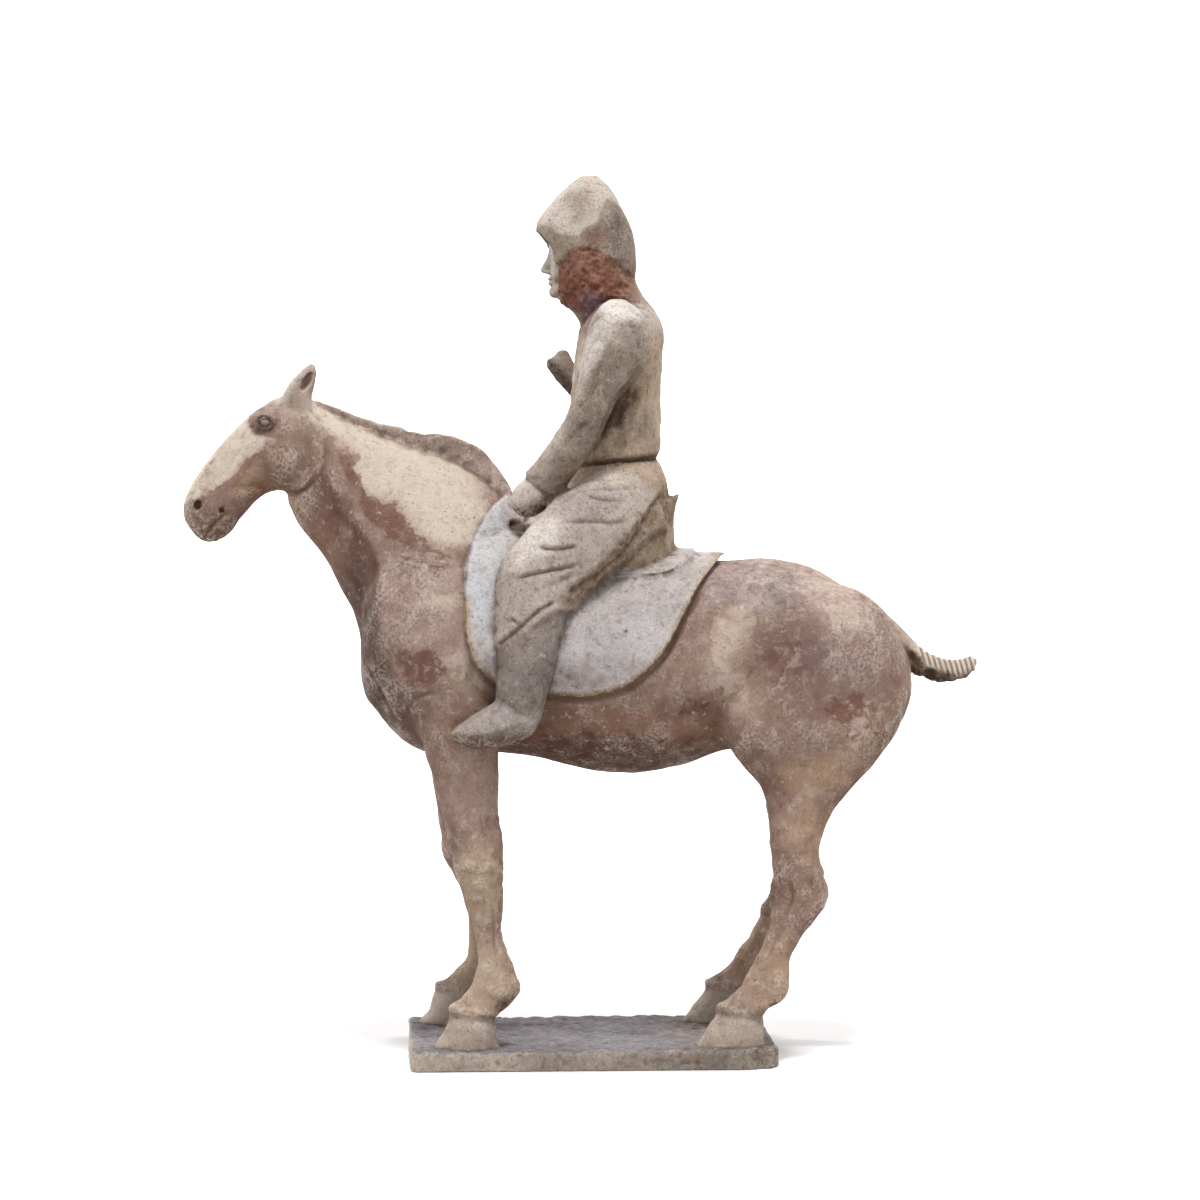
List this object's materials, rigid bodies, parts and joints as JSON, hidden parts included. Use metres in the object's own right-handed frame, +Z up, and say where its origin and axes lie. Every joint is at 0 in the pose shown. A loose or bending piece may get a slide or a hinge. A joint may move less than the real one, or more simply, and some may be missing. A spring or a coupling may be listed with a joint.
{
  "type": "pottery horse and rider figure",
  "caption": "Standing pottery horse on a thin slab plinth with a hooded rider in a long-sleeved robe, saddle and saddle cloth, one fired piece with worn slip.",
  "frame": {"origin": "centre of the plinth's flat underside", "axes": "+Z up; -X is the way the horse faces and +X its tail; -Y is the rider's left, near side and +Y the off side"},
  "size_m": [0.3184, 0.111, 0.3515],
  "materials": {
    "earthenware": "unglazed earthenware with worn reddish, grey and white slip and burial dirt; matte, slightly rough"
  },
  "bodies": {
    "root": {"horse_and_rider": "earthenware"}
  },
  "joints": []
}
